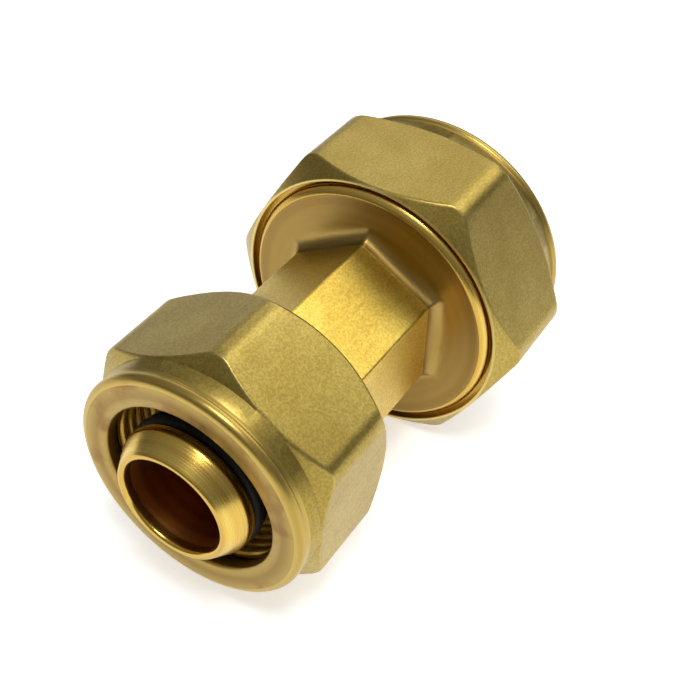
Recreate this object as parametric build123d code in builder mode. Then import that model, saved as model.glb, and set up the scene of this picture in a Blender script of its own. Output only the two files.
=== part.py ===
from build123d import *

from dataclasses import dataclass
from math import cos, floor, radians, tan
import os

# A reducing compression coupling that joins a 20 mm multilayer pipe on the -X side to a 25 mm one
# on the +X side. Millimetres. The axis of the coupling is X, +Z is up, and the origin is the middle
# of the body's spanner hex. "Out" is a distance along the axis from there towards one of the ends,
# and "turn" is an angle round the axis, in degrees from +Y towards +Z.


@dataclass(frozen=True)
class End:
    """One end of the coupling: its direction along X, and its sizes."""

    name: str
    direction: int
    pipe_outer: float  # radius of the pipe that the end takes
    stem_outer: float  # radius of the stem that goes inside the pipe
    water_way: float  # radius of the bore through the stem
    thread: float  # nominal radius of the screw thread
    nut_flats: float  # across the flats
    nut_turn: float  # where a corner of the nut stands
    slit_turn: float  # where the split ring's slit stands
    drum_end: float  # out
    nut_face: float  # out
    stem_tip: float  # out

    @property
    def meridian(self):
        """Half plane for revolved profiles: its x runs out along the axis, its y is the radius."""
        return Plane((0, 0, 0), x_dir=(self.direction, 0, 0), z_dir=(0, -self.direction, 0))

    def across(self, out):
        """Plane square to the axis at a distance out, with its x along +Y."""
        return Plane((self.direction * out, 0, 0), x_dir=(0, 1, 0), z_dir=(self.direction, 0, 0))


SMALL = End("small", -1, pipe_outer=10.0, stem_outer=7.9, water_way=5.9, thread=13.0, nut_flats=27.8,
            nut_turn=95.0, slit_turn=150.0, drum_end=18.6, nut_face=24.9, stem_tip=27.6)
LARGE = End("large", +1, pipe_outer=12.5, stem_outer=9.9, water_way=7.9, thread=16.0, nut_flats=33.8,
            nut_turn=60.0, slit_turn=150.0, drum_end=20.2, nut_face=26.4, stem_tip=29.5)
ENDS = (SMALL, LARGE)
PIPE_AXIS = Axis.X
CORNERS = 6

# Screw thread, metric profile
PITCH = 1.5
HALF_ANGLE = 30.0
NUT_THREAD_DEPTH = 0.541 * PITCH
DRUM_THREAD_DEPTH = 0.613 * PITCH
SHARP_CREST = PITCH / 8
MALE_ALLOWANCE = 0.13  # radial, taken off the drum's thread
FEMALE_ALLOWANCE = 0.12  # radial, cut into the nut's thread
RUN_OUT_EXTRA = 0.1  # how much deeper the run-out grooves are than the thread
LEAD_IN = 0.8  # width of the cone at the start of each thread
THREAD_OVERCUT = 0.1  # how far a cutter stands clear of the surface that it starts from

# Body
HEX_FLATS = 17.8
HEX_TURN = 90.0
HEX_EDGE_ROUND = 0.35
HEX_ROOT_ROUND = 1.7
HALF_HEX = 9.0
RIM_CHAMFER = 0.7
RIM_WIDTH = 1.3  # plain rim of the drum, next to the hex
UNDERCUT_WIDTH = 1.5  # groove where the thread runs out, next to the rim
SOCKET_FLOOR = 12.6  # out
SOCKET_CLEARANCE = 0.2  # radial, round the pipe
SEAT_DEPTH = 1.2  # 45 degree cone in the drum's mouth that closes the split ring
BORE_STEP_START = 9.8  # out on the large side, the water way widens over a cone
BORE_STEP_END = 11.6
BORE_EDGE = 0.6

# Stem, measured inwards from its tip
NOSE_LENGTH = 2.4
NOSE_DROP = 1.2
LAND_WIDTH = 1.0
TOOTH_PITCH = 1.2
TOOTH_COUNT = 2
TOOTH_DEPTH = 0.35
GROOVE_WIDTH = 2.1
GROOVE_DEPTH = 1.36
GROOVE_COUNT = 2

# O-rings and insulating washers
CORD_RADIUS = 0.77  # of the O-ring's section
CORD_LIFT = 0.02  # off the groove's floor
WASHER_THICKNESS = 1.2
WASHER_PLAY = 0.1
WASHER_SEAT = 0.25  # how far the stem's foot is necked to hold the washer

# Nuts
MOUTH = 9.4  # out, the inner face of a nut that is screwed home
COUNTERBORE_DEPTH = 1.2
COUNTERBORE_PLAY = 0.45  # radial, over the thread
MOUTH_LIP = 0.3  # width of the flat ring round the counterbore
NUT_CORNER_ROUND = 2.6
MOUTH_CHAMFER_ANGLE = 42.0  # from the face
FRONT_CHAMFER_ANGLE = 35.0
HOLE_PLAY = 0.25  # radial, round the pipe
HOLE_LAND = 1.5
HOLE_EDGE = 0.2
RELIEF_START = 0.5  # beyond the drum's end
RELIEF_WIDTH = 1.5
NECK_LENGTH = 3.4  # round part between the nut's face and its hex
NECK_DROP = 0.1  # neck and face ring stand this much inside the flats
NOTCH_DEPTH = 0.5
FACE_RING_WIDTH = 1.2
FACE_RING_ROUND = 0.6

# Split rings
RING_WALL = 1.9
RING_TIP = 0.4  # wall left at each end of the ring
RING_PLAY = 0.15  # off the nut's cone and off the drum's seat
RIDGE_PITCH = 1.3
RIDGE_DEPTH = 0.35
SLIT_WIDTH = 2.6


def revolved(end, outline, **options):
    """Turn a closed outline of (out, radius) points about the pipe axis, into the open part block."""
    with BuildSketch(end.meridian) as profile:
        with BuildLine():
            Polyline(*outline, close=True)
        make_face()
    revolve(profile.sketch, axis=PIPE_AXIS, **options)


def corner_angle(end, turn):
    """Angle in end.across() of a hex corner that stands at a turn."""
    return end.direction * turn


def thread_tool(end, start, length, surface, root, mouth_half, root_half):
    """Helical groove cutter: a trapezoid swept from the surface radius to the root radius."""
    helix = Helix(
        pitch=PITCH,
        height=length,
        radius=surface,
        center=(end.direction * start, 0, 0),
        direction=(end.direction, 0, 0),
    )
    begin = helix @ 0
    radial = Vector(0, begin.Y, begin.Z).normalized()
    depth = root - surface
    with BuildPart(mode=Mode.PRIVATE) as tool:
        with BuildLine():
            add(helix)
        with BuildSketch(Plane(begin, x_dir=radial, z_dir=helix % 0)):
            with BuildLine():
                Polyline(
                    (0, -mouth_half),
                    (depth, -root_half),
                    (depth, root_half),
                    (0, mouth_half),
                    close=True,
                )
            make_face()
        sweep(is_frenet=True)
    return tool.part


def drum_thread_tool(end):
    """Cutter for the thread outside a drum, from the undercut to past the drum's end."""
    slope = tan(radians(HALF_ANGLE))
    crest = end.thread - MALE_ALLOWANCE
    mouth_half = (PITCH - SHARP_CREST) / 2
    return thread_tool(
        end,
        start=thread_start(end),
        length=end.drum_end + PITCH - thread_start(end),
        surface=crest + THREAD_OVERCUT,
        root=crest - DRUM_THREAD_DEPTH,
        mouth_half=mouth_half + THREAD_OVERCUT * slope,
        root_half=mouth_half - DRUM_THREAD_DEPTH * slope,
    )


def nut_thread_tool(end):
    """Cutter for the thread inside a nut, half a pitch out of step with the drum's cutter."""
    slope = tan(radians(HALF_ANGLE))
    root = end.thread + FEMALE_ALLOWANCE
    crest = root - NUT_THREAD_DEPTH
    root_half = SHARP_CREST / 2
    start = thread_start(end) - 1.5 * PITCH
    return thread_tool(
        end,
        start=start,
        length=relief_span(end)[0] + RELIEF_WIDTH / 2 - start,
        surface=crest - THREAD_OVERCUT,
        root=root,
        mouth_half=root_half + (NUT_THREAD_DEPTH + THREAD_OVERCUT) * slope,
        root_half=root_half,
    )


def thread_start(end):
    """Out position where the drum's thread cutter starts, in the middle of the undercut."""
    return HALF_HEX + RIM_WIDTH + UNDERCUT_WIDTH / 2


def relief_span(end):
    """Start and end, out, of the groove where the nut's thread runs out."""
    start = end.drum_end + RELIEF_START
    return start, start + RELIEF_WIDTH


def stem_grooves(end):
    """Inner edge, out, of each O-ring groove, the one nearest the tip first."""
    first = end.stem_tip - NOSE_LENGTH - LAND_WIDTH - GROOVE_WIDTH
    step = GROOVE_WIDTH + LAND_WIDTH + TOOTH_COUNT * TOOTH_PITCH
    return [first - index * step for index in range(GROOVE_COUNT)]


def drum_outline(end):
    """Drum from its rim to its mouth, and down its socket to the foot of the stem."""
    crest = end.thread - MALE_ALLOWANCE
    floor_radius = crest - DRUM_THREAD_DEPTH - RUN_OUT_EXTRA
    rim_end = HALF_HEX + RIM_WIDTH
    undercut_end = rim_end + UNDERCUT_WIDTH
    socket = end.pipe_outer + SOCKET_CLEARANCE
    return [
        (HALF_HEX, 0),
        (HALF_HEX, crest - RIM_CHAMFER),
        (HALF_HEX + RIM_CHAMFER, crest),
        (rim_end, crest),
        (rim_end, floor_radius),
        (undercut_end, floor_radius),
        (undercut_end, crest),
        (end.drum_end, crest),
        (end.drum_end, socket + SEAT_DEPTH),
        (end.drum_end - SEAT_DEPTH, socket),
        (SOCKET_FLOOR, socket),
        (SOCKET_FLOOR, end.stem_outer - WASHER_SEAT),
        (SOCKET_FLOOR + WASHER_THICKNESS + WASHER_PLAY, end.stem_outer - WASHER_SEAT),
        (SOCKET_FLOOR + WASHER_THICKNESS + WASHER_PLAY, end.stem_outer),
    ]


def drum_lead_in(end):
    """Waste outside the 45 degree cone that starts the drum's thread, cut once the thread is there."""
    crest = end.thread - MALE_ALLOWANCE
    return [
        (end.drum_end - 2 * LEAD_IN, crest + LEAD_IN),
        (end.drum_end + LEAD_IN, crest - 2 * LEAD_IN),
        (end.drum_end + LEAD_IN, crest + LEAD_IN),
    ]


def stem_outline(end):
    """Stem from its foot to its tip: O-ring grooves, with barbed teeth between them, and the nose."""
    outer_groove, inner_groove = stem_grooves(end)
    nose = end.stem_tip - NOSE_LENGTH
    return [
        *groove_outline(end, inner_groove),
        *teeth_outline(end, inner_groove + GROOVE_WIDTH + LAND_WIDTH / 2),
        *groove_outline(end, outer_groove),
        (nose, end.stem_outer),
        (end.stem_tip, end.stem_outer - NOSE_DROP),
        (end.stem_tip, 0),
    ]


def groove_outline(end, start):
    """Square O-ring groove in a stem."""
    floor_radius = end.stem_outer - GROOVE_DEPTH
    return [
        (start, end.stem_outer),
        (start, floor_radius),
        (start + GROOVE_WIDTH, floor_radius),
        (start + GROOVE_WIDTH, end.stem_outer),
    ]


def teeth_outline(end, start):
    """Row of barbed teeth, each with its steep side towards the socket."""
    outline = []
    for index in range(TOOTH_COUNT):
        crest = start + index * TOOTH_PITCH
        outline += [(crest, end.stem_outer), (crest + TOOTH_PITCH, end.stem_outer - TOOTH_DEPTH)]
    return outline + [(start + TOOTH_COUNT * TOOTH_PITCH, end.stem_outer)]


def make_body():
    """One-piece forging: the spanner hex between two threaded drums, each with its stem."""
    with BuildPart() as body:
        for end in ENDS:
            revolved(end, drum_outline(end) + stem_outline(end))
        with BuildSketch(SMALL.across(HALF_HEX)):
            RegularPolygon(
                HEX_FLATS / 2,
                CORNERS,
                major_radius=False,
                rotation=corner_angle(SMALL, HEX_TURN),
            )
            fillet(vertices(Select.LAST), HEX_EDGE_ROUND)
        extrude(amount=-2 * HALF_HEX)
        roots = [
            edge
            for edge in body.edges().filter_by_position(Axis.X, -HALF_HEX, -HALF_HEX)
            + body.edges().filter_by_position(Axis.X, HALF_HEX, HALF_HEX)
            if edge.center().Y ** 2 + edge.center().Z ** 2 < HEX_FLATS**2 / 2
            and edge.length < HEX_FLATS
        ]
        fillet(roots, HEX_ROOT_ROUND)
        revolved(LARGE, water_way_outline(), mode=Mode.SUBTRACT)
        for end in ENDS:
            add(drum_thread_tool(end), mode=Mode.SUBTRACT)
            revolved(end, drum_lead_in(end), mode=Mode.SUBTRACT)
    body.part.label = "body"
    return body.part


def water_way_outline():
    """Bore from tip to tip, in the large end's meridian, where the small end runs to minus."""
    small_tip = -SMALL.stem_tip
    return [
        (small_tip, 0),
        (small_tip, SMALL.water_way + BORE_EDGE),
        (small_tip + BORE_EDGE, SMALL.water_way),
        (BORE_STEP_START, SMALL.water_way),
        (BORE_STEP_END, LARGE.water_way),
        (LARGE.stem_tip - BORE_EDGE, LARGE.water_way),
        (LARGE.stem_tip, LARGE.water_way + BORE_EDGE),
        (LARGE.stem_tip, 0),
    ]


def nut_envelope(end):
    """Round envelope of a nut's hex, with a chamfer cone at each end."""
    sharp = end.nut_flats / 2 / cos(radians(180 / CORNERS))
    mouth_edge = end.thread + COUNTERBORE_PLAY + MOUTH_LIP
    neck = end.nut_flats / 2 - NECK_DROP
    hex_end = end.nut_face - NECK_LENGTH
    return [
        (MOUTH, 0),
        (MOUTH, mouth_edge),
        (MOUTH + (sharp - mouth_edge) * tan(radians(MOUTH_CHAMFER_ANGLE)), sharp),
        (hex_end - (sharp - neck) * tan(radians(FRONT_CHAMFER_ANGLE)), sharp),
        (hex_end, neck),
        (hex_end, 0),
    ]


def nut_neck(end):
    """Round neck in front of the hex: a shallow notch, and the rounded ring of the nut's face."""
    ring = end.nut_flats / 2 - NECK_DROP
    hex_end = end.nut_face - NECK_LENGTH
    return [
        (hex_end, 0),
        (hex_end, ring),
        (end.nut_face - FACE_RING_WIDTH - NOTCH_DEPTH, ring - NOTCH_DEPTH),
        (end.nut_face - FACE_RING_WIDTH, ring - NOTCH_DEPTH),
        (end.nut_face - FACE_RING_WIDTH, ring),
        (end.nut_face, ring),
        (end.nut_face, 0),
    ]


def nut_hollow(end):
    """Inside of a nut: counterbore, thread bore, run-out groove, closing cone and pipe hole."""
    bore = end.thread + FEMALE_ALLOWANCE - NUT_THREAD_DEPTH
    counterbore_end = MOUTH + COUNTERBORE_DEPTH
    counterbore = end.thread + COUNTERBORE_PLAY
    relief_start, relief_end = relief_span(end)
    relief = end.thread + FEMALE_ALLOWANCE + RUN_OUT_EXTRA
    hole = end.pipe_outer + HOLE_PLAY
    cone_end = end.nut_face - HOLE_LAND
    return [
        (MOUTH, 0),
        (MOUTH, counterbore),
        (counterbore_end, counterbore),
        (counterbore_end, bore),
        (relief_start, bore),
        (relief_start, relief),
        (relief_end, relief),
        (relief_end, bore),
        (cone_end - (bore - hole), bore),
        (cone_end, hole),
        (end.nut_face - HOLE_EDGE, hole),
        (end.nut_face, hole + HOLE_EDGE),
        (end.nut_face, 0),
    ]


def nut_lead_in(end):
    """Waste inside the 45 degree cone that starts the nut's thread, cut once the thread is there."""
    bore = end.thread + FEMALE_ALLOWANCE - NUT_THREAD_DEPTH
    counterbore_end = MOUTH + COUNTERBORE_DEPTH
    return [
        (counterbore_end, bore - LEAD_IN),
        (counterbore_end, bore + LEAD_IN),
        (counterbore_end + 2 * LEAD_IN, bore - LEAD_IN),
    ]


def make_nut(end):
    """Hexagonal union nut."""
    hex_length = end.nut_face - NECK_LENGTH - MOUTH
    with BuildPart() as nut:
        with BuildSketch(end.across(MOUTH)):
            RegularPolygon(
                end.nut_flats / 2,
                CORNERS,
                major_radius=False,
                rotation=corner_angle(end, end.nut_turn),
            )
            fillet(vertices(), NUT_CORNER_ROUND)
        extrude(amount=hex_length)
        revolved(end, nut_envelope(end), mode=Mode.INTERSECT)
        revolved(end, nut_neck(end))
        face_edge = nut.edges().filter_by(GeomType.CIRCLE).sort_by(Axis.X)[::end.direction][-1]
        fillet(face_edge, FACE_RING_ROUND)
        revolved(end, nut_hollow(end), mode=Mode.SUBTRACT)
        add(nut_thread_tool(end), mode=Mode.SUBTRACT)
        revolved(end, nut_lead_in(end), mode=Mode.SUBTRACT)
    nut.part.label = f"{end.name}_nut"
    return nut.part


def ring_outline(end):
    """Split ring: two closing cones outside, and a row of gripping ridges inside."""
    inner = end.pipe_outer + SOCKET_CLEARANCE
    outer = end.pipe_outer + RING_WALL
    play = RING_PLAY / cos(radians(45))
    seat_start = end.drum_end - SEAT_DEPTH + play
    cone_end = end.nut_face - HOLE_LAND + end.pipe_outer + HOLE_PLAY - inner - play
    tip = inner + RING_TIP
    start = seat_start + RING_TIP
    stop = cone_end - RING_TIP
    outline = [
        (stop, inner),
        (stop, tip),
        (stop - (outer - tip), outer),
        (start + (outer - tip), outer),
        (start, tip),
        (start, inner),
    ]
    for index in range(floor((stop - start) / RIDGE_PITCH)):
        ridge = start + (index + 0.5) * RIDGE_PITCH
        outline += [(ridge, inner), (ridge, inner + RIDGE_DEPTH), (ridge + RIDGE_PITCH / 2, inner)]
    return outline


def make_split_ring(end):
    """C-shaped ring that the nut's cone closes round the pipe."""
    with BuildPart() as ring:
        revolved(end, ring_outline(end))
        with BuildSketch(end.across(end.drum_end - SEAT_DEPTH)):
            with Locations(Rotation(0, 0, corner_angle(end, end.slit_turn))):
                Rectangle(2 * end.thread, SLIT_WIDTH, align=(Align.MIN, Align.CENTER))
        extrude(amount=end.nut_face - end.drum_end, mode=Mode.SUBTRACT)
    ring.part.label = f"{end.name}_split_ring"
    return ring.part


def make_o_ring(end, index):
    """O-ring that lies on the floor of one stem groove."""
    middle = stem_grooves(end)[index] + GROOVE_WIDTH / 2
    height = end.stem_outer - GROOVE_DEPTH + CORD_LIFT + CORD_RADIUS
    with BuildPart() as o_ring:
        with BuildSketch(end.meridian):
            with Locations((middle, height)):
                Circle(CORD_RADIUS)
        revolve(axis=PIPE_AXIS)
    o_ring.part.label = f"{end.name}_{('outer', 'inner')[index]}_o_ring"
    return o_ring.part


def make_washer(end):
    """Insulating washer on the socket's floor, which keeps the pipe's end off the metal."""
    socket = end.pipe_outer + SOCKET_CLEARANCE
    with BuildPart() as washer:
        with BuildSketch(end.across(SOCKET_FLOOR)):
            Circle(socket - WASHER_PLAY)
            Circle(end.stem_outer - WASHER_SEAT + WASHER_PLAY, mode=Mode.SUBTRACT)
        extrude(amount=WASHER_THICKNESS)
    washer.part.label = f"{end.name}_insulating_washer"
    return washer.part


def main():
    """Make every piece and write each one to its own file."""
    pieces = [make_body()]
    for end in ENDS:
        pieces.append(make_nut(end))
        pieces.append(make_split_ring(end))
        pieces.append(make_washer(end))
        pieces += [make_o_ring(end, index) for index in range(GROOVE_COUNT)]
    os.makedirs("parts", exist_ok=True)
    for piece in pieces:
        export_step(piece, f"parts/{piece.label}.step")


main()
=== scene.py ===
"""Reducing compression coupling: a forged brass body with a hex union nut on each end.

The axis of the coupling is X, with the small end at -X and +Z up. Lengths named in this file are
in millimetres, unless a name or docstring says otherwise, and MM turns them into metres. "Out" is a
distance along the axis from the middle towards one end. Angles round the axis run from +Y to +Z.
"""

import logging
import math
from dataclasses import dataclass, field, replace
from enum import Enum
from typing import Any, Sequence

import bmesh
import bpy
from mathutils import Matrix, Vector


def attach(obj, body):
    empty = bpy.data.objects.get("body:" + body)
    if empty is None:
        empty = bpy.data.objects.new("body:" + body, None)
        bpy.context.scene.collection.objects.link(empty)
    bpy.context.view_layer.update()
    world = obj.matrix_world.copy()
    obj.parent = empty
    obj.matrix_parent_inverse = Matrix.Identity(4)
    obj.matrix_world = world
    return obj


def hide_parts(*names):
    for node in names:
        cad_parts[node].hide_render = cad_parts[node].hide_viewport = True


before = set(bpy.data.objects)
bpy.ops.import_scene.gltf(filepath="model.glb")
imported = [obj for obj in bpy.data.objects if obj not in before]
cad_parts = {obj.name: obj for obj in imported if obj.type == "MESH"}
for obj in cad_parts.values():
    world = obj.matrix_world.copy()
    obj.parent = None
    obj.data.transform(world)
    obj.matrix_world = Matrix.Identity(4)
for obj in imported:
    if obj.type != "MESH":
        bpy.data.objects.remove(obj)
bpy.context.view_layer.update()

Tree = bpy.types.NodeTree
Socket = bpy.types.NodeSocket
Material = bpy.types.Material

LOG = logging.getLogger("coupling")
MM = 0.001
CORNERS = 6
SECTOR = 360.0 / CORNERS
WELD = 0.002 * MM
SHARP_ANGLE = 42.0


# ----------------------------------------
# Small helpers
# ----------------------------------------


def srgb(code: str) -> tuple[float, float, float, float]:
    """Linear red, green and blue of an sRGB colour such as "#c8a24a", then an alpha of 1."""
    channels = [int(code[start:start + 2], 16) / 255 for start in (1, 3, 5)]
    linear = [c / 12.92 if c <= 0.04045 else ((c + 0.055) / 1.055) ** 2.4 for c in channels]
    return (*linear, 1.0)


def add_node(
    tree: Tree,
    kind: str,
    settings: dict[str, Any] | None = None,
    **inputs: Any,
) -> bpy.types.Node:
    """Add one node with its settings, values and links.

    Args:
        tree: Node tree to add to.
        kind: Blender's name for the node type.
        settings: Node properties to set, by name.
        **inputs: Input values or sockets to link, named after the input with "_" for a space, or
            "in0", "in1" and so on for the input of that number.

    Returns:
        The new node.
    """
    node = tree.nodes.new(kind)
    for name, value in (settings or {}).items():
        setattr(node, name, value)
    for name, value in inputs.items():
        numbered = name.startswith("in") and name[2:].isdigit()
        socket = node.inputs[int(name[2:])] if numbered else node.inputs[name.replace("_", " ")]
        if isinstance(value, Socket):
            tree.links.new(value, socket)
        else:
            socket.default_value = value
    return node


def smooth_min(a: float, b: float, reach: float) -> float:
    """Smaller of two lengths, rounded where they cross over a given reach."""
    share = max(reach - abs(a - b), 0.0) / reach
    return min(a, b) - share * share * reach / 4


def spread(start: float, stop: float, step: float) -> list[float]:
    """Evenly spaced values from start to stop, both included, no further apart than step."""
    count = max(1, math.ceil(abs(stop - start) / step - 1e-6))
    return [start + (stop - start) * index / count for index in range(count + 1)]


# ----------------------------------------
# Sizes shared by the pieces
# ----------------------------------------

PITCH = 1.5
THREAD_START = 11.05
NUT_THREAD_DEPTH = 0.541 * PITCH
MALE_ALLOWANCE = 0.13
FEMALE_ALLOWANCE = 0.12
SOCKET_FLOOR = 12.6
SOCKET_CLEARANCE = 0.2
SEAT_DEPTH = 1.2  # of the cone in the drum's mouth
GROOVE_WIDTH = 2.1
GROOVE_DEPTH = 1.36
GROOVE_STEP = 5.5  # from the tip to the outer groove, and on to the inner one
LAND_WIDTH = 0.5
CORD_RADIUS = 0.77
HOLE_PLAY = 0.25
HOLE_LAND = 1.5
FACE_RING_INSET = 0.1
ROW_STEP = 1.2  # along plain stretches of a hex


@dataclass(frozen=True)
class Hexagon:
    """Outline of a spanner hex with rounded corners."""

    flats: float
    corner_round: float
    turn: float

    def radius(self, angle: float) -> float:
        """Distance from the axis to the outline at an angle in degrees."""
        half = self.flats / 2
        centre = (half - self.corner_round) / math.cos(math.pi / CORNERS)
        reach = math.atan2((half - self.corner_round) * math.tan(math.pi / CORNERS), half)
        off_corner = math.radians((angle - self.turn + SECTOR / 2) % SECTOR - SECTOR / 2)
        off_flat = math.pi / CORNERS - abs(off_corner)
        if off_flat <= reach:
            return half / math.cos(off_flat)
        return centre * math.cos(off_corner) + math.sqrt(
            self.corner_round**2 - (centre * math.sin(off_corner)) ** 2
        )


@dataclass(frozen=True)
class End:
    """One end of the coupling and its sizes, the same as those of the CAD model."""

    name: str
    direction: int
    pipe_outer: float
    stem_outer: float
    water_way: float
    thread: float
    nut_hex: Hexagon
    slit_turn: float
    drum_end: float
    nut_face: float
    stem_tip: float

    @property
    def socket(self) -> float:
        """Radius of the socket that takes the pipe."""
        return self.pipe_outer + SOCKET_CLEARANCE

    @property
    def drum_crest(self) -> float:
        """Radius over the drum's thread."""
        return self.thread - MALE_ALLOWANCE

    @property
    def face_ring(self) -> float:
        """Radius of the nut's neck and face ring."""
        return self.nut_hex.flats / 2 - FACE_RING_INSET

    @property
    def nut_hole(self) -> float:
        """Radius of the hole in the nut's face."""
        return self.pipe_outer + HOLE_PLAY

    @property
    def grooves(self) -> tuple[float, float]:
        """Inner edges, out, of the outer and the inner O-ring groove."""
        outer = self.stem_tip - GROOVE_STEP
        return outer, outer - GROOVE_STEP


SMALL = End("small", -1, 10.0, 7.9, 5.9, 13.0, Hexagon(27.8, 2.6, 95.0), 150.0, 18.6, 24.9, 27.6)
LARGE = End("large", 1, 12.5, 9.9, 7.9, 16.0, Hexagon(33.8, 2.6, 60.0), 150.0, 20.2, 26.4, 29.5)


class Zone(Enum):
    """Part of a piece's surface that has a finish of its own."""

    CAST = 0
    TURNED = 1
    THREAD = 2
    FACE = 3
    BORE = 4


@dataclass(frozen=True)
class Row:
    """Ring of points square to the axis.

    Its radius is radius + hex_share times the hexagon's, or the smaller of the two if clipped.
    """

    out: float
    radius: float
    zone: Zone = Zone.TURNED
    hex_share: float = 0.0
    clipped: bool = False


def rounded(out: float, radius: float, bend: float, side: int, turns: Sequence[float]) -> list[Row]:
    """Rows round the edge between a face square to the axis and a round side.

    Args:
        out: Place of the face.
        radius: Radius of the round side.
        bend: Radius of the edge's rounding.
        side: -1 if the edge looks away from the axis, +1 if it looks towards it.
        turns: Degrees round the edge, from 0 at the side to 90 at the face.

    Returns:
        One row for each turn.
    """
    rows = []
    for turn in turns:
        angle = math.radians(turn)
        level = radius + side * bend * (1 - math.cos(angle))
        rows.append(Row(out - bend * (1 - math.sin(angle)), level))
    return rows


def mirrored(rows: Sequence[Row]) -> list[Row]:
    """The same rows, measured towards the other end."""
    return [replace(row, out=-row.out) for row in rows]


# ----------------------------------------
# Geometry Nodes: one tree makes every grooved band
# ----------------------------------------

# Formula of the band: name of the result, operation, first value, second value. A word that isn't
# an earlier result is one of the tree's inputs. Angles are in radians, lengths in metres.
BAND_STEPS: tuple[tuple[str, str, Any, Any], ...] = (
    ("along", "MULTIPLY", "row share", "Length"),
    ("swing", "MULTIPLY", "column share", "Arc"),
    ("even", "ADD", "swing", "Arc start"),
    ("off corner", "SUBTRACT", "even", "Corner turn"),
    ("six", "MULTIPLY", "off corner", 6.0),
    ("wave", "SINE", "six", None),
    ("pulled", "MULTIPLY", "wave", "Corner pull"),
    ("shift", "DIVIDE", "pulled", 6.0),
    ("angle", "SUBTRACT", "even", "shift"),
    ("place", "ADD", "along", "Phase"),
    ("pitches", "DIVIDE", "place", "Pitch"),
    ("turns", "DIVIDE", "angle", math.tau),
    ("lead", "MULTIPLY", "turns", "Lead"),
    ("phase", "SUBTRACT", "pitches", "lead"),
    ("tooth", "FRACT", "phase", None),
    ("off middle", "SUBTRACT", "tooth", 0.5),
    ("far", "ABSOLUTE", "off middle", None),
    ("double", "MULTIPLY", "far", 2.0),
    ("groove", "SUBTRACT", 1.0, "double"),
    ("less flat", "SUBTRACT", "groove", "Crest share"),
    ("flat span", "SUBTRACT", 1.0, "Crest share"),
    ("steep", "DIVIDE", "less flat", "flat span"),
    ("even groove", "MAXIMUM", "steep", 0.0),
    ("lean groove", "MULTIPLY", "tooth", "Lean"),
    ("upright", "SUBTRACT", 1.0, "Lean"),
    ("even share", "MULTIPLY", "even groove", "upright"),
    ("cut share", "ADD", "even share", "lean groove"),
    ("rest", "SUBTRACT", "Length", "along"),
    ("edge", "MINIMUM", "along", "rest"),
    ("fade in", "DIVIDE", "edge", "Fade"),
    ("fade", "MINIMUM", "fade in", 1.0),
    ("faded", "MULTIPLY", "cut share", "fade"),
    ("cut", "MULTIPLY", "faded", "Depth"),
    ("cone", "SUBTRACT", "Lead-in", "rest"),
    ("held cone", "MAXIMUM", "cone", 0.0),
    ("deepest", "MAXIMUM", "cut", "held cone"),
    ("signed", "MULTIPLY", "deepest", "Inward"),
    ("r", "SUBTRACT", "Radius", "signed"),
    ("cosine", "COSINE", "angle", None),
    ("sine", "SINE", "angle", None),
    ("y", "MULTIPLY", "r", "cosine"),
    ("z", "MULTIPLY", "r", "sine"),
    ("out", "ADD", "Start", "along"),
    ("x", "MULTIPLY", "out", "Direction"),
)

BAND_INPUTS: tuple[str, ...] = (
    "Start", "Length", "Radius", "Depth", "Pitch", "Phase", "Lead", "Direction", "Arc start", "Arc",
    "Corner turn", "Corner pull", "Crest share", "Lean", "Fade", "Lead-in", "Inward",
)


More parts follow.
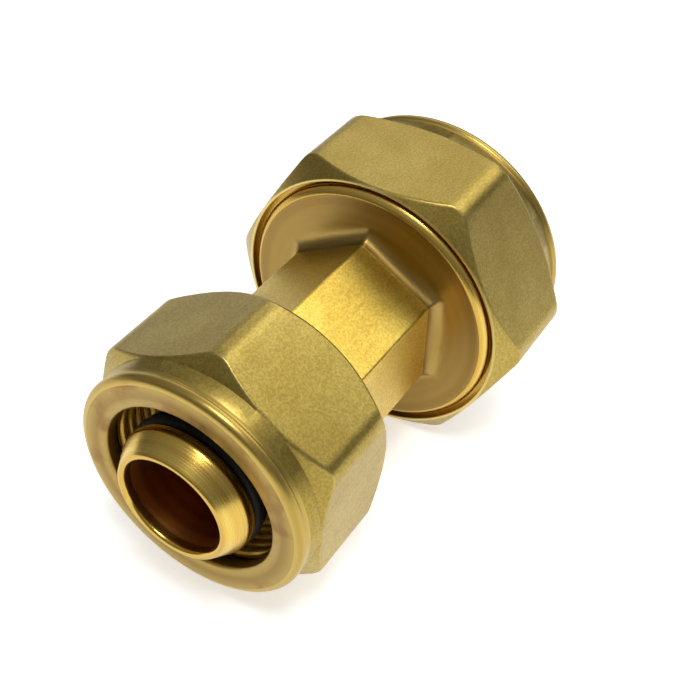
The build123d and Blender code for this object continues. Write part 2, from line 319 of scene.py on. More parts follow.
class BandTree:
    """Geometry Nodes tree that bends a grid round the axis and cuts threads or ridges into it."""

    def __init__(self) -> None:
        """Build the tree."""
        self.tree = bpy.data.node_groups.new("grooved band", "GeometryNodeTree")
        self.sockets: dict[str, str] = {}
        self._declare()
        self._build()

    def _declare(self) -> None:
        """Name the tree's inputs and its output."""
        face = self.tree.interface
        kinds = [(name, "Float") for name in BAND_INPUTS]
        kinds += [("Rows", "Int"), ("Columns", "Int"), ("Material", "Material")]
        for name, kind in kinds:
            self.sockets[name] = face.new_socket(
                name, in_out="INPUT", socket_type=f"NodeSocket{kind}"
            ).identifier
        face.new_socket("Geometry", in_out="OUTPUT", socket_type="NodeSocketGeometry")

    def _build(self) -> None:
        """Lay a unit grid, work out where each point goes, and weld the seam."""
        tree = self.tree
        given = add_node(tree, "NodeGroupInput").outputs
        grid = add_node(
            tree, "GeometryNodeMeshGrid", None,
            Size_X=1.0, Size_Y=1.0, Vertices_X=given["Rows"], Vertices_Y=given["Columns"],
        )
        place = add_node(tree, "ShaderNodeSeparateXYZ", None, in0=add_node(
            tree, "GeometryNodeInputPosition").outputs[0])
        values: dict[str, Any] = {name: given[name] for name in BAND_INPUTS}
        for name, axis in (("row share", "X"), ("column share", "Y")):
            values[name] = add_node(
                tree, "ShaderNodeMath", {"operation": "ADD"}, in0=place.outputs[axis], in1=0.5
            ).outputs[0]
        for name, operation, first, second in BAND_STEPS:
            inputs = {"in0": values.get(first, first)}
            if second is not None:
                inputs["in1"] = values.get(second, second)
            node = add_node(tree, "ShaderNodeMath", {"operation": operation}, **inputs)
            values[name] = node.outputs[0]
        point = add_node(
            tree, "ShaderNodeCombineXYZ", None, X=values["x"], Y=values["y"], Z=values["z"]
        )
        bent = add_node(
            tree, "GeometryNodeSetPosition", None,
            Geometry=grid.outputs["Mesh"], Position=point.outputs[0],
        )
        welded = add_node(
            tree, "GeometryNodeMergeByDistance", None, Geometry=bent.outputs[0], Distance=WELD
        )
        real = add_node(
            tree, "GeometryNodeRealizeInstances", None, Geometry=welded.outputs[0]
        )
        dressed = add_node(
            tree, "GeometryNodeSetMaterial", None,
            Geometry=real.outputs[0], Material=given["Material"],
        )
        add_node(tree, "NodeGroupOutput", None, Geometry=dressed.outputs[0])

    def mesh(self, material: Material, **values: float) -> bpy.types.Mesh:
        """Evaluate the tree once and keep the result as a plain mesh.

        Args:
            material: Finish of the band.
            **values: Values of the tree's inputs, with "_" for a space.

        Returns:
            A mesh with no modifier on it.
        """
        carrier = bpy.data.objects.new("carrier", bpy.data.meshes.new("carrier"))
        bpy.context.scene.collection.objects.link(carrier)
        modifier = carrier.modifiers.new("band", "NODES")
        modifier.node_group = self.tree
        for name, value in values.items():
            modifier[self.sockets[name.replace("_", " ")]] = value
        modifier[self.sockets["Material"]] = material
        evaluated = carrier.evaluated_get(bpy.context.evaluated_depsgraph_get())
        mesh = bpy.data.meshes.new_from_object(evaluated)
        bpy.data.objects.remove(carrier)
        return mesh


@dataclass(frozen=True)
class Band:
    """Grooved band on one end: a thread, or a row of barbs or ridges."""

    start: float
    stop: float
    radius: float
    depth: float
    pitch: float
    inward: int = 1
    lead: int = 0
    phase: float = 0.0
    crest_share: float = 0.125
    lean: float = 0.0
    fade: float = 0.4
    lead_in: float = 0.0
    row_step: float = 0.15
    zone: Zone = Zone.THREAD


# ----------------------------------------
# Lathe: turns rows and bands into one welded mesh
# ----------------------------------------


@dataclass
class Lathe:
    """Builds one piece round the axis from strips of rows and grooved bands."""

    tree: BandTree
    columns: int
    hexagon: Hexagon
    corner_pull: float = 0.3
    soften: float = 0.18
    arc_start: float = 0.0
    arc: float = 360.0
    mesh: bmesh.types.BMesh = field(default_factory=bmesh.new)

    @property
    def closed(self) -> bool:
        """Whether the piece goes all the way round."""
        return self.arc >= 360.0

    def angle(self, column: int) -> float:
        """Angle of a column in degrees, with the columns drawn together at the hex's corners."""
        even = self.arc_start + self.arc * column / self.columns
        wave = math.sin(math.radians(CORNERS * (even - self.hexagon.turn)))
        return even - math.degrees(wave) * self.corner_pull / CORNERS

    def radius(self, row: Row, angle: float) -> float:
        """Radius of a row at an angle in degrees."""
        if row.clipped:
            return smooth_min(row.radius, self.hexagon.radius(angle), self.soften)
        if row.hex_share:
            return row.radius + row.hex_share * self.hexagon.radius(angle)
        return row.radius

    def strip(self, direction: int, rows: Sequence[Row]) -> None:
        """Skin a series of rows.

        Args:
            direction: +1 or -1, the end that "out" is measured towards.
            rows: Rings in order. Each gives its zone to the faces that follow it.
        """
        count = self.columns if self.closed else self.columns + 1
        angles = [self.angle(column) for column in range(count)]
        rings = []
        for row in rows:
            ring = []
            for angle in angles:
                radius = self.radius(row, angle) * MM
                turn = math.radians(angle)
                point = (direction * row.out * MM, radius * math.cos(turn), radius * math.sin(turn))
                ring.append(self.mesh.verts.new(point))
            rings.append(ring)
        for row, ring, after in zip(rows, rings, rings[1:]):
            for column in range(self.columns):
                following = (column + 1) % count
                corners = (ring[column], ring[following], after[following], after[column])
                face = self.mesh.faces.new(corners)
                face.material_index = row.zone.value

    def band(self, direction: int, band: Band, material: Material) -> None:
        """Add a grooved band made by the Geometry Nodes tree.

        Args:
            direction: +1 or -1, the end that "out" is measured towards.
            band: Shape of the band.
            material: Finish of the band.
        """
        length = band.stop - band.start
        made = self.tree.mesh(
            material,
            Start=band.start * MM,
            Length=length * MM,
            Radius=band.radius * MM,
            Depth=band.depth * MM,
            Pitch=band.pitch * MM,
            Phase=band.phase * MM,
            Lead=float(band.lead * direction),
            Direction=float(direction),
            Arc_start=math.radians(self.arc_start),
            Arc=math.radians(self.arc),
            Corner_turn=math.radians(self.hexagon.turn),
            Corner_pull=self.corner_pull,
            Crest_share=band.crest_share,
            Lean=band.lean,
            Fade=band.fade * MM,
            **{"Lead-in": band.lead_in * MM},
            Inward=float(band.inward),
            Rows=math.ceil(length / band.row_step) + 1,
            Columns=self.columns + 1,
        )
        old = len(self.mesh.faces)
        self.mesh.from_mesh(made)
        self.mesh.faces.ensure_lookup_table()
        for face in self.mesh.faces[old:]:
            face.material_index = band.zone.value
        bpy.data.meshes.remove(made)

    def finish(self, name: str, finishes: Sequence[Material]) -> bpy.types.Object:
        """Weld everything into one smooth-shaded object at the origin.

        Args:
            name: Name of the piece.
            finishes: Materials in the order of the zones.

        Returns:
            The object, linked to the scene.
        """
        work = self.mesh
        bmesh.ops.remove_doubles(work, verts=work.verts, dist=WELD)
        if not self.closed:
            gaps = [edge for edge in work.edges if edge.is_boundary]
            bmesh.ops.holes_fill(work, edges=gaps, sides=0)
        bmesh.ops.recalc_face_normals(work, faces=work.faces)
        open_edges = sum(1 for edge in work.edges if not edge.is_manifold)
        mesh = bpy.data.meshes.new(name)
        work.to_mesh(mesh)
        work.free()
        for finish in finishes:
            mesh.materials.append(finish)
        mesh.shade_smooth()
        mesh.set_sharp_from_angle(angle=math.radians(SHARP_ANGLE))
        piece = bpy.data.objects.new(name, mesh)
        bpy.context.scene.collection.objects.link(piece)
        LOG.info("%s: %d faces, %d open edges", name, len(mesh.polygons), open_edges)
        return piece


# ----------------------------------------
# Finishes
# ----------------------------------------


@dataclass
class Finish:
    """Start of every finish: a material with a principled shader and coordinates in metres."""

    name: str

    def begin(self) -> tuple[Tree, Socket]:
        """Make the empty material, and return its tree and the object's own coordinates."""
        self.material = bpy.data.materials.new(self.name)
        self.material.use_nodes = True
        tree = self.material.node_tree
        tree.nodes.clear()
        place = add_node(tree, "ShaderNodeTexCoord").outputs["Object"]
        return tree, place

    def make(self) -> Material:
        """Build the material and return it."""
        raise NotImplementedError

    def end(self, tree: Tree, **inputs: Any) -> Material:
        """Add the shader with its inputs, link it to the output and return the material."""
        shader = add_node(tree, "ShaderNodeBsdfPrincipled", None, **inputs)
        add_node(tree, "ShaderNodeOutputMaterial", None, Surface=shader.outputs[0])
        return self.material

    @staticmethod
    def noise(tree: Tree, place: Socket, size_mm: float, detail: float = 3.0) -> Socket:
        """Noise whose features are about size_mm across."""
        node = add_node(
            tree, "ShaderNodeTexNoise", None,
            Vector=place, Scale=1.0 / (size_mm * MM), Detail=detail, Roughness=0.55,
        )
        return node.outputs[0]

    @staticmethod
    def mixed(tree: Tree, share: Any, low: Any, high: Any, blend: str = "MIX") -> Socket:
        """Mix of two colours, by a share of the second."""
        settings = {"data_type": "RGBA", "blend_type": blend}
        node = add_node(tree, "ShaderNodeMix", settings, in0=share, in6=low, in7=high)
        return node.outputs[2]

    @staticmethod
    def ramp(
        tree: Tree, value: Socket, span: tuple[float, float],
        low: Any, high: Any,
    ) -> Socket:
        """Blend from low to high as value crosses span. Both are numbers or both are colours."""
        if isinstance(low, (int, float)):
            node = add_node(
                tree, "ShaderNodeMapRange", {"interpolation_type": "SMOOTHSTEP"},
                in0=value, in1=span[0], in2=span[1], in3=low, in4=high,
            )
            return node.outputs[0]
        return Finish.mixed(tree, Finish.ramp(tree, value, span, 0.0, 1.0), low, high)

    @staticmethod
    def bumped(
        tree: Tree, height: Socket, depth_mm: float, share: float,
        normal: Socket | None = None,
    ) -> Socket:
        """Normal tilted by a height of up to depth_mm, at a share of its full strength."""
        more = {} if normal is None else {"Normal": normal}
        node = add_node(
            tree, "ShaderNodeBump", None, Height=height, Distance=depth_mm * MM, Strength=share,
            **more,
        )
        return node.outputs[0]


def radial_place(tree: Tree, place: Socket, along: float) -> Socket:
    """Coordinates that change only across turning marks.

    Args:
        tree: Material's node tree.
        place: Object coordinates.
        along: How fast the marks run along the axis, beside one across it.

    Returns:
        A vector whose x is the radius plus along times x, with the other two zero.
    """
    parts = add_node(tree, "ShaderNodeSeparateXYZ", None, in0=place)
    flat = add_node(
        tree, "ShaderNodeCombineXYZ", None, Y=parts.outputs["Y"], Z=parts.outputs["Z"]
    )
    radius = add_node(
        tree, "ShaderNodeVectorMath", {"operation": "LENGTH"}, in0=flat.outputs[0]
    ).outputs["Value"]
    mixed = add_node(
        tree, "ShaderNodeMath", {"operation": "MULTIPLY_ADD"},
        in0=parts.outputs["X"], in1=along, in2=radius,
    )
    return add_node(tree, "ShaderNodeCombineXYZ", None, X=mixed.outputs[0]).outputs[0]


@dataclass
class BlastedBrass(Finish):
    """Shot-blasted brass: satin, with a fine speckle, and convex edges painted brighter, partly
    wear from tumbling and partly painted highlight.
    """

    light: str
    dark: str
    edge: str
    grit_mm: float = 0.26
    dent_mm: float = 0.012
    roughness: tuple[float, float] = (0.34, 0.42)

    def make(self) -> Material:
        """Build the material and return it."""
        tree, place = self.begin()
        grit = self.noise(tree, place, self.grit_mm, 4.0)
        cloud = self.noise(tree, place, 7.0, 3.0)
        scuff_place = add_node(
            tree, "ShaderNodeMapping", None,
            Vector=place, Rotation=(0.3, 0.2, 0.5), Scale=(0.16, 1.0, 1.0),
        ).outputs[0]
        scuff = self.noise(tree, scuff_place, 0.34, 3.0)
        tint = self.ramp(tree, cloud, (0.36, 0.66), srgb(self.dark), srgb(self.light))
        speck = self.ramp(tree, grit, (0.38, 0.62), srgb("#b9ac8c"), srgb("#ffffff"))
        flecked = self.mixed(tree, 0.42, tint, speck, "MULTIPLY")
        # Painted highlight and wear: convex edges, found by pointiness, are mixed towards the
        # bright edge colour.
        edge_wear_and_glint = self.ramp(
            tree, add_node(tree, "ShaderNodeNewGeometry").outputs["Pointiness"],
            (0.515, 0.56), 0.0, 0.75,
        )
        colour = self.mixed(tree, edge_wear_and_glint, flecked, srgb(self.edge))
        gloss = self.ramp(tree, scuff, (0.25, 0.75), self.roughness[1], self.roughness[0])
        pits = self.bumped(tree, grit, self.dent_mm * 2, 0.32)
        normal = self.bumped(tree, scuff, self.dent_mm, 0.2, pits)
        return self.end(
            tree, Base_Color=colour, Metallic=1.0, Roughness=gloss, Normal=normal
        )


@dataclass
class TurnedBrass(Finish):
    """Lathe-turned brass: fine marks that run round the axis, and a painted reflection across them:
    light and dark rings in the colour that stand for a streaky sheen.
    """

    light: str
    dark: str
    mark_mm: float = 0.3
    mark_depth_mm: float = 0.010
    roughness: tuple[float, float] = (0.18, 0.34)
    stain: str = "#a07a3c"
    stain_span: tuple[float, float] = (0.62, 0.80)

    def make(self) -> Material:
        """Build the material and return it."""
        tree, place = self.begin()
        across = radial_place(tree, place, 0.83)
        marks = self.noise(tree, across, self.mark_mm, 3.0)
        bands = self.noise(tree, across, self.mark_mm * 7, 1.0)
        cloud = self.noise(tree, place, 4.0, 4.0)
        # Painted reflection: rings of lighter and darker colour stand in for the streaky sheen of
        # turned metal.
        tint = self.ramp(tree, bands, (0.35, 0.65), srgb(self.dark), srgb(self.light))
        stained = self.ramp(tree, cloud, self.stain_span, 0.0, 0.8)
        colour = self.mixed(tree, stained, tint, srgb(self.stain))
        gloss = self.ramp(tree, marks, (0.3, 0.7), self.roughness[0], self.roughness[1])
        grain = self.bumped(tree, marks, self.mark_depth_mm, 0.6)
        fine = self.noise(tree, place, 0.3, 3.0)
        normal = self.bumped(tree, fine, 0.004, 0.12, grain)
        return self.end(
            tree, Base_Color=colour, Metallic=1.0, Roughness=gloss, Normal=normal
        )


@dataclass
class BlackRubber(Finish):
    """Nitrile rubber: near black, satin, with a faint mottle of dust."""

    def make(self) -> Material:
        """Build the material and return it."""
        tree, place = self.begin()
        dust = self.noise(tree, place, 0.5, 4.0)
        colour = self.ramp(tree, dust, (0.4, 0.8), srgb("#100e0b"), srgb("#26211a"))
        gloss = self.ramp(tree, dust, (0.3, 0.7), 0.55, 0.75)
        normal = self.bumped(tree, self.noise(tree, place, 0.12, 2.0), 0.006, 0.5)
        return self.end(
            tree, Base_Color=colour, Roughness=gloss, Normal=normal, Specular_IOR_Level=0.25
        )


@dataclass
class WhitePlastic(Finish):
    """Sheet PTFE: milky white, waxy, with faint cutting marks."""

    def make(self) -> Material:
        """Build the material and return it."""
        tree, place = self.begin()
        marks = self.noise(tree, radial_place(tree, place, 1.0), 0.2, 2.0)
        colour = self.ramp(tree, marks, (0.3, 0.7), srgb("#dcd8cc"), srgb("#efece4"))
        normal = self.bumped(tree, marks, 0.01, 0.4)
        return self.end(tree, Base_Color=colour, Roughness=0.45, Normal=normal)


@dataclass
class StudioWhite(Finish):
    """White sweep of a product studio: matt, with the faintest mottle."""

    def make(self) -> Material:
        """Build the material and return it."""
        tree, place = self.begin()
        mottle = self.noise(tree, place, 60.0, 2.0)
        colour = self.ramp(tree, mottle, (0.3, 0.7), srgb("#f4f4f4"), srgb("#fbfbfb"))
        return self.end(
            tree, Base_Color=colour, Roughness=0.8,
            Emission_Color=srgb("#ffffff"), Emission_Strength=0.55,
        )


# ----------------------------------------
# Pieces
# ----------------------------------------


@dataclass
class Shop:
    """Everything the pieces share: the band tree and the finishes."""

    tree: BandTree
    finishes: dict[str, Material]

    def zoned(self, *names: str) -> list[Material]:
        """Finishes by name, in the order of the zones."""
        return [self.finishes[name] for name in names]

    def plain(self, name: str) -> list[Material]:
        """One finish for every zone."""
        return [self.finishes[name]] * len(Zone)


def place_piece(piece: bpy.types.Object, node: str, body: str) -> bpy.types.Object:
    """Let a finished piece stand for its CAD node, whose mesh is hidden, and ride on its body."""
    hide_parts(node)
    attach(piece, body)
    return piece


@dataclass
class Body:
    """Forging with a spanner hex in the middle, and a threaded drum and a stem at each end."""

    shop: Shop
    hexagon: Hexagon = Hexagon(17.8, 0.5, 90.0)
    half_hex: float = 9.0
    root_round: float = 1.7
    rim_chamfer: float = 0.7
    rim_end: float = 10.3
    undercut_end: float = 11.8
    thread_depth: float = 0.92
    thread_chamfer: float = 0.8
    washer_seat: tuple[float, float] = (1.3, 0.25)
    bore_step: tuple[float, float] = (9.8, 11.6)
    columns: int = 240

    def flange_rows(self, end: End) -> list[Row]:
        """From the undercut over the rim and down the drum's face to the hex, going inwards."""
        crest = end.drum_crest
        floor = crest - self.thread_depth - 0.1
        soft = 0.12
        rows = [
            Row(self.undercut_end, crest, Zone.THREAD),
            Row(self.undercut_end, floor + soft, Zone.THREAD),
            Row(self.undercut_end - soft, floor, Zone.THREAD),
            Row(self.rim_end + soft, floor, Zone.THREAD),
            Row(self.rim_end, floor + soft),
            Row(self.rim_end, crest - soft),
            Row(self.rim_end - soft, crest),
            Row(self.half_hex + self.rim_chamfer + soft, crest),
            Row(self.half_hex + self.rim_chamfer - soft, crest - soft),
            Row(self.half_hex + soft, crest - self.rim_chamfer + soft),
            Row(self.half_hex, crest - self.rim_chamfer - soft),
        ]
        face_edge = crest - self.rim_chamfer - soft
        for share in spread(0.0, 1.0, 0.12)[1:]:
            base = (1 - share) * face_edge + share * self.root_round
            rows.append(Row(self.half_hex, base, Zone.FACE, hex_share=share))
        # Painted shade: the root fillet takes the darker flange finish instead of the forged one,
        # so it shows no highlight.
        turns = spread(90.0, 0.0, 11.25)[1:]
        for row in rounded(self.half_hex, 0.0, self.root_round, 1, turns):
            rows.append(replace(row, zone=Zone.FACE, hex_share=1.0))
        rows[-1] = replace(rows[-1], zone=Zone.CAST)
        return rows

    def socket_rows(self, end: End) -> list[Row]:
        """From the end of the thread over the mouth, down the socket and up the stem's foot."""
        crest = end.drum_crest
        inner = end.grooves[1]
        floor = end.stem_outer - GROOVE_DEPTH
        seat_length, seat_depth = self.washer_seat
        return [
            Row(end.drum_end, crest - self.thread_chamfer),
            Row(end.drum_end, end.socket + SEAT_DEPTH),
            Row(end.drum_end - SEAT_DEPTH, end.socket),
            Row(SOCKET_FLOOR, end.socket),
            Row(SOCKET_FLOOR, end.stem_outer - seat_depth),
            Row(SOCKET_FLOOR + seat_length, end.stem_outer - seat_depth),
            Row(SOCKET_FLOOR + seat_length, end.stem_outer),
            Row(inner, end.stem_outer),
            Row(inner, floor),
            Row(inner + GROOVE_WIDTH, floor),
            Row(inner + GROOVE_WIDTH, end.stem_outer),
            Row(inner + GROOVE_WIDTH + LAND_WIDTH, end.stem_outer),
        ]

    def nose_rows(self, end: End) -> list[Row]:
        """From the end of the barbs over the outer groove and the tapered nose into the bore."""
        outer = end.grooves[0]
        floor = end.stem_outer - GROOVE_DEPTH
        land = outer + GROOVE_WIDTH
        taper_start = end.stem_tip - 2.4
        lip = end.stem_outer - 1.2
        soft = 0.22
        rows = [
            Row(outer - LAND_WIDTH, end.stem_outer),
            Row(outer, end.stem_outer),
            Row(outer, floor),
            Row(land, floor),
            Row(land, end.stem_outer - 0.08),
            Row(land + 0.08, end.stem_outer),
        ]
        for share in spread(0.0, 1.0, 0.2):
            out = taper_start - soft + 2 * soft * share
            rows.append(Row(out, end.stem_outer - share * share * soft * 0.5))
        lip_round, edge = 0.32, 0.45
        rows += rounded(end.stem_tip, lip, lip_round, -1, spread(30.0, 90.0, 15.0))
        rows += rounded(end.stem_tip, end.water_way, edge, 1, spread(90.0, 0.0, 15.0))
        rows.append(Row(end.stem_tip - 1.2, end.water_way, Zone.BORE))
        return rows

    def bands(self, end: End) -> list[Band]:
        """Thread round the drum, and the barbs between the stem's O-ring grooves."""
        barbs = end.grooves[1] + GROOVE_WIDTH + LAND_WIDTH
        return [
            Band(
                self.undercut_end, end.drum_end, end.drum_crest, self.thread_depth, PITCH,
                lead=1, phase=self.undercut_end - THREAD_START + PITCH / 2,
                lead_in=self.thread_chamfer,
            ),
            Band(
                barbs, end.grooves[0] - LAND_WIDTH, end.stem_outer, 0.35, 1.2,
                lean=1.0, fade=0.05, row_step=0.1, zone=Zone.TURNED,
            ),
        ]

    def make(self) -> bpy.types.Object:
        """Build the body as one closed skin and return it."""
        lathe = Lathe(self.shop.tree, self.columns, self.hexagon, corner_pull=0.75)
        small, large = mirrored(self.flange_rows(SMALL)), self.flange_rows(LARGE)
        middle = [
            Row(out, 0.0, Zone.CAST, hex_share=1.0)
            for out in spread(small[-1].out, large[-1].out, ROW_STEP)[1:-1]
        ]
        lathe.strip(1, small + middle + large[::-1])
        for end in (SMALL, LARGE):
            lathe.strip(end.direction, self.socket_rows(end))
            for band in self.bands(end):
                lathe.band(end.direction, band, self.shop.finishes["turned"])
        step = [
            Row(self.bore_step[0], SMALL.water_way, Zone.BORE),
            Row(self.bore_step[1], LARGE.water_way, Zone.BORE),
        ]
        lathe.strip(1, mirrored(self.nose_rows(SMALL)) + step + self.nose_rows(LARGE)[::-1])
        finishes = self.shop.zoned("forged", "turned", "thread", "flange", "bore")
        piece = lathe.finish("body_forging", finishes)
        return place_piece(piece, "body", "fitting")


@dataclass
class Nut:
    """Hexagonal union nut with a rounded face ring and a thread inside."""

    shop: Shop
    end: End
    mouth: float = 9.4
    neck_length: float = 3.4
    chamfer_step: float = 0.11
    columns: int = 252

    @property
    def bore(self) -> float:
        """Radius of the thread's crests."""
        return self.end.thread + FEMALE_ALLOWANCE - NUT_THREAD_DEPTH

    @property
    def counterbore(self) -> float:
        """Radius of the counterbore in the mouth."""
        return self.end.thread + 0.45

    @property
    def thread_start(self) -> float:
        """Bottom of the counterbore, out."""
        return self.mouth + 1.2

    @property
    def relief(self) -> float:
        """Start of the run-out groove, out."""
        return self.end.drum_end + 0.5

    def outside_rows(self) -> list[Row]:
        """From the mouth's counterbore over the chamfer, along the hex and down to the neck."""
        end = self.end
        corner = end.nut_hex.radius(end.nut_hex.turn)
        edge = self.counterbore + 0.3
        neck = end.nut_face - self.neck_length
        ring = end.face_ring
        rise = math.tan(math.radians(42.0))
        fall = math.tan(math.radians(35.0))
        mouth_span = (corner + 0.15 - edge) * rise
        front_span = (corner + 0.15 - ring) * fall
        rows = [
            Row(self.mouth + 0.07, self.counterbore),
            Row(self.mouth, self.counterbore + 0.07, Zone.CAST),
            Row(self.mouth, edge, Zone.CAST),
        ]
        for out in spread(0.0, mouth_span, self.chamfer_step)[1:]:
            rows.append(Row(self.mouth + out, edge + out / rise, Zone.CAST, clipped=True))
        flats = spread(self.mouth + mouth_span, neck - front_span, ROW_STEP)
        rows += [Row(out, corner + 1.0, Zone.CAST, clipped=True) for out in flats[1:]]
        for drop in spread(front_span, 0.0, self.chamfer_step)[1:]:
            rows.append(Row(neck - drop, ring + drop / fall, Zone.CAST, clipped=True))
        return rows

    def face_rows(self) -> list[Row]:
        """Shallow notch behind the face ring, the ring, the flat face and the rim of the hole."""
        end = self.end
        ring = end.face_ring
        back = end.nut_face - 1.3
        hole = end.nut_hole
        round_off = 0.85
        rows = [
            Row(back - 0.5, ring - 0.17),
            Row(back - 0.42, ring - 0.22),
            Row(back, ring - 0.22),
            Row(back + 0.07, ring - 0.15),
            Row(back + 0.25, ring - 0.02),
        ]
        rows += rounded(end.nut_face, ring, round_off, -1, spread(0.0, 90.0, 15.0))
        rows[-1] = Row(end.nut_face, ring - round_off, Zone.FACE)
        rows += [
            Row(end.nut_face, hole + 0.27, Zone.FACE),
            Row(end.nut_face - 0.05, hole + 0.16, Zone.FACE),
            Row(end.nut_face - 0.2, hole + 0.02, Zone.BORE),
            Row(end.nut_face - 0.4, hole, Zone.BORE),
        ]
        return rows

    def inside_rows(self) -> list[Row]:
        """Hole, closing cone, run-out groove and the start of the thread."""
        end = self.end
        hole = end.nut_hole
        cone_end = end.nut_face - HOLE_LAND
        relief_end = self.relief + 1.5
        groove = end.thread + 0.22
        return [
            Row(cone_end, hole, Zone.BORE),
            Row(cone_end - (self.bore - hole), self.bore, Zone.BORE),
            Row(relief_end, self.bore, Zone.BORE),
            Row(relief_end, groove, Zone.BORE),
            Row(self.relief, groove, Zone.BORE),
            Row(self.relief, self.bore, Zone.BORE),
        ]

    def thread(self) -> Band:
        """Female thread, in step with the drum's, from the counterbore to the run-out groove."""
        return Band(
            self.thread_start, self.relief, self.bore, NUT_THREAD_DEPTH, PITCH,
            inward=-1, lead=1, phase=self.thread_start - THREAD_START, row_step=0.17,
        )

    def make(self) -> bpy.types.Object:
        """Build the nut as one closed skin and return it."""
        end = self.end
        lathe = Lathe(self.shop.tree, self.columns, end.nut_hex, corner_pull=0.3)
        shoulder = [
            Row(self.thread_start, self.bore, Zone.THREAD),
            Row(self.thread_start, self.counterbore, Zone.THREAD),
        ]
        rows = shoulder + self.outside_rows() + self.face_rows() + self.inside_rows()
        lathe.strip(end.direction, rows)
        lathe.band(end.direction, self.thread(), self.shop.finishes["thread"])
        finishes = self.shop.zoned("blasted", "neck", "thread", "nut_face", "nut_bore")
        piece = lathe.finish(f"{end.name}_union_nut", finishes)
        return place_piece(piece, f"{end.name}_nut", f"{end.name}_nut")


@dataclass
class SplitRing:
    """C-shaped ring with a cone at each end outside and ridges inside."""

    shop: Shop
    end: End
    columns: int = 150
    slit_width: float = 2.6
    cone_play: float = 0.15
    tip_height: float = 0.4

    def make(self) -> bpy.types.Object:
        """Build the ring with its slit left open and both ends of the C closed."""
        end = self.end
        inner = end.socket
        outer = end.pipe_outer + 1.9
        tip = inner + self.tip_height
        play = self.cone_play / math.cos(math.radians(45.0))
        start = end.drum_end - SEAT_DEPTH + play + self.tip_height
        cone_end = end.nut_face - HOLE_LAND + end.pipe_outer + HOLE_PLAY
        stop = cone_end - inner - play - self.tip_height
        slope = outer - tip
        half_slit = math.degrees(math.asin(self.slit_width / 2 / inner))
        lathe = Lathe(
            self.shop.tree, self.columns, end.nut_hex, corner_pull=0.0,
            arc_start=end.slit_turn + half_slit, arc=360.0 - 2 * half_slit,
        )
        lathe.strip(end.direction, [
            Row(stop, inner),
            Row(stop, tip - 0.05),
            Row(stop - 0.05, tip),
            Row(stop - slope, outer - 0.02),
            Row(stop - slope - 0.08, outer),
            Row(start + slope + 0.08, outer),
            Row(start + slope, outer - 0.02),
            Row(start + 0.05, tip),
            Row(start, tip - 0.05),
            Row(start, inner),
        ])
        ridges = Band(
            start, stop, inner, 0.35, 1.3, inward=-1, crest_share=0.3,
            fade=0.2, row_step=0.13, zone=Zone.TURNED,
        )
        lathe.band(end.direction, ridges, self.shop.finishes["turned"])
        piece = lathe.finish(f"{end.name}_clamp_ring", self.shop.plain("turned"))
        return place_piece(piece, f"{end.name}_split_ring", f"{end.name}_ring")


@dataclass
class Seals:
    """Two O-rings and the insulating washer of one stem."""

    shop: Shop
    end: End
    columns: int = 120

    def o_ring(self, which: str, groove: float) -> bpy.types.Object:
        """The "outer" or "inner" O-ring, in the groove whose inner edge is given."""
        end = self.end
        middle = groove + GROOVE_WIDTH / 2
        height = end.stem_outer - GROOVE_DEPTH + 0.02 + CORD_RADIUS
        rows = []
        for turn in spread(0.0, 360.0, 15.0):
            angle = math.radians(turn)
            rows.append(
                Row(middle + CORD_RADIUS * math.cos(angle), height + CORD_RADIUS * math.sin(angle))
            )
        lathe = Lathe(self.shop.tree, self.columns, end.nut_hex, corner_pull=0.0)
        lathe.strip(end.direction, rows)
        piece = lathe.finish(f"{end.name}_{which}_seal", self.shop.plain("rubber"))
        return place_piece(piece, f"{end.name}_{which}_o_ring", "fitting")

    def washer(self) -> bpy.types.Object:
        """Insulating washer on the socket's floor, with its edges just broken."""
        end = self.end
        low, high = SOCKET_FLOOR, SOCKET_FLOOR + 1.2
        inner, outer = end.stem_outer - 0.15, end.socket - 0.1
        soft = 0.08
        rows = [
            Row(low, inner + soft), Row(low, outer - soft), Row(low + soft, outer),
            Row(high - soft, outer), Row(high, outer - soft), Row(high, inner + soft),
            Row(high - soft, inner), Row(low + soft, inner), Row(low, inner + soft),
        ]
        lathe = Lathe(self.shop.tree, self.columns, end.nut_hex, corner_pull=0.0)
        lathe.strip(end.direction, rows)
        piece = lathe.finish(f"{end.name}_washer", self.shop.plain("plastic"))
        return place_piece(piece, f"{end.name}_insulating_washer", "fitting")

    def make(self) -> list[bpy.types.Object]:
        """Build the washer and both O-rings."""
        names = ("outer", "inner")
        return [self.washer()] + [
            self.o_ring(name, groove) for name, groove in zip(names, self.end.grooves)
        ]


# ----------------------------------------
# Studio
# ----------------------------------------


@dataclass(frozen=True)
class Softbox:
    """Rectangular light that faces the coupling."""

    name: str
    direction: tuple[float, float, float]
    power: float
    size: tuple[float, float]
    distance: float = 0.5


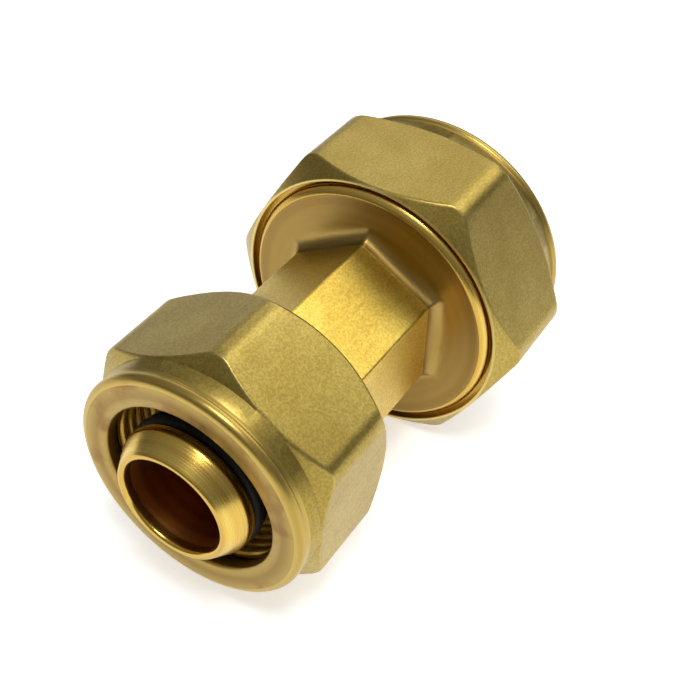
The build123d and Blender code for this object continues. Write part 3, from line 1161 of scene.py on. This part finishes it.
class Studio:
    """White sweep, softboxes and camera."""

    LENS = 60.21
    SENSOR = 36.0
    EYE = (-82.21, -52.08, 89.58)
    AZIMUTH = -59.42
    ELEVATION = 42.54
    ROLL = 2.36
    FLOOR_POINTS = ((11.5, -16.9), (-21.5, -15.62))
    LIGHTS = (
        Softbox("key", (0.63, -0.25, 0.73), 0.84, (0.36, 0.36)),
        Softbox("back", (0.70, 0.38, 0.62), 0.24, (0.30, 0.20)),
        Softbox("left", (0.63, 0.76, 0.25), 0.10, (0.30, 0.20)),
        Softbox("top", (-0.23, -0.20, 0.95), 0.85, (0.14, 0.14)),
    )

    def __init__(self, shop: Shop) -> None:
        """Keep the finishes."""
        self.shop = shop

    def floor(self) -> bpy.types.Object:
        """Flat white sweep under the coupling, tilted so that both nuts rest on it."""
        (x0, z0), (x1, z1) = self.FLOOR_POINTS
        slope = (z1 - z0) / (x1 - x0)
        half = 1500.0
        corners = [
            (sx * half * MM, sy * half * MM, (z0 + slope * (sx * half - x0)) * MM)
            for sx, sy in ((-1, -1), (1, -1), (1, 1), (-1, 1))
        ]
        mesh = bpy.data.meshes.new("sweep")
        mesh.from_pydata(corners, [], [(0, 1, 2, 3)])
        mesh.materials.append(self.shop.finishes["studio"])
        sweep = bpy.data.objects.new("sweep", mesh)
        bpy.context.scene.collection.objects.link(sweep)
        return sweep

    def lights(self) -> list[bpy.types.Object]:
        """Softboxes, each aimed at the coupling's middle."""
        made = []
        for box in self.LIGHTS:
            lamp = bpy.data.lights.new(box.name, "AREA")
            lamp.shape = "RECTANGLE"
            lamp.size, lamp.size_y = box.size
            lamp.energy = box.power
            stand = bpy.data.objects.new(box.name, lamp)
            direction = Vector(box.direction).normalized()
            stand.location = direction * box.distance
            stand.rotation_euler = direction.to_track_quat("Z", "Y").to_euler()
            bpy.context.scene.collection.objects.link(stand)
            made.append(stand)
        return made

    def world(self) -> None:
        """Dim grey surroundings, lighter overhead."""
        world = bpy.data.worlds.new("studio")
        world.use_nodes = True
        tree = world.node_tree
        tree.nodes.clear()
        place = add_node(tree, "ShaderNodeTexCoord").outputs["Generated"]
        height = add_node(tree, "ShaderNodeSeparateXYZ", None, in0=place).outputs["Z"]
        colour = Finish.ramp(tree, height, (-0.2, 1.0), srgb("#8c8c8c"), srgb("#e8e8e8"))
        sky = add_node(tree, "ShaderNodeBackground", None, Color=colour, Strength=0.40)
        add_node(tree, "ShaderNodeOutputWorld", None, Surface=sky.outputs[0])
        bpy.context.scene.world = world

    def camera(self) -> bpy.types.Object:
        """Camera that looks down on the small end."""
        data = bpy.data.cameras.new("camera")
        data.lens = self.LENS
        data.sensor_width = self.SENSOR
        data.clip_start = 0.01
        data.clip_end = 10.0
        azimuth, elevation = math.radians(self.AZIMUTH), math.radians(self.ELEVATION)
        back = Vector((
            math.sin(azimuth) * math.cos(elevation),
            -math.cos(azimuth) * math.cos(elevation),
            math.sin(elevation),
        ))
        right = Vector((0.0, 0.0, 1.0)).cross(back).normalized()
        turn = Matrix((right, back.cross(right), back)).transposed()
        turn = turn @ Matrix.Rotation(math.radians(self.ROLL), 3, "Z")
        camera = bpy.data.objects.new("camera", data)
        camera.matrix_world = Matrix.Translation(Vector(self.EYE) * MM) @ turn.to_4x4()
        bpy.context.scene.collection.objects.link(camera)
        bpy.context.scene.camera = camera
        return camera

    def make(self) -> None:
        """Set up everything that isn't part of the coupling."""
        self.world()
        self.floor()
        self.lights()
        self.camera()
        scene = bpy.context.scene
        scene.view_settings.view_transform = "Standard"
        scene.view_settings.look = "None"


# ----------------------------------------
# Main
# ----------------------------------------


def make_finishes() -> dict[str, Material]:
    """Every finish by its short name."""
    makers: dict[str, Finish] = {
        # Warm gold of a blasted forging that was never machined: reads as the softest surface
        "forged": BlastedBrass("forged_hex_brass", "#e0c45e", "#d4b450", "#f0d884"),
        # Greener, duller satin of the nuts, with a fine sparkle from the shot
        "blasted": BlastedBrass("blasted_nut_brass", "#b8a256", "#ae974c", "#e8d288"),
        # Bright turned metal of the noses, rings and rims
        "turned": TurnedBrass("turned_brass", "#e0c062", "#c8a24a"),
        # Threads: the same metal, a little darker with cutting oil
        "thread": TurnedBrass("thread_brass", "#d2ac52", "#a8822f", roughness=(0.26, 0.42)),
        # Drum faces next to the hex and the hex's root fillet: painted shade and painted
        # reflection, a darker brown standing for the brown streaks in which they mirror the hex
        "flange": TurnedBrass(
            "turned_flange_brass", "#a68a4c", "#947840", roughness=(0.30, 0.42)
        ),
        # Neck and rounded edge of a nut
        "neck": TurnedBrass("nut_neck_brass", "#c4aa5a", "#ac9048", roughness=(0.28, 0.42)),
        # Front face of a nut, tanned and stained from handling
        "nut_face": TurnedBrass(
            "stained_face_brass", "#b09654", "#987c40", roughness=(0.3, 0.46), stain="#8a6432",
            stain_span=(0.5, 0.72),
        ),
        # Water way: painted shade and painted inter-reflection, warm and dark, as metal that only
        # sees itself
        "bore": TurnedBrass("bore_brass", "#dc9c4a", "#b4742e", roughness=(0.28, 0.44)),
        # Inside of a nut: painted shade, darker than the outside
        "nut_bore": TurnedBrass("nut_bore_brass", "#a98842", "#7c5f26", roughness=(0.3, 0.5)),
        "rubber": BlackRubber("black_rubber"),
        "plastic": WhitePlastic("white_plastic"),
        "studio": StudioWhite("studio_white"),
    }
    return {name: maker.make() for name, maker in makers.items()}


def main() -> None:
    """Build every piece in order, then the studio."""
    logging.basicConfig(level=logging.INFO, format="%(name)s: %(message)s")
    shop = Shop(BandTree(), make_finishes())
    Body(shop).make()
    for end in (SMALL, LARGE):
        Nut(shop, end).make()
        SplitRing(shop, end).make()
        Seals(shop, end).make()
    Studio(shop).make()


if __name__ == "__main__":
    main()
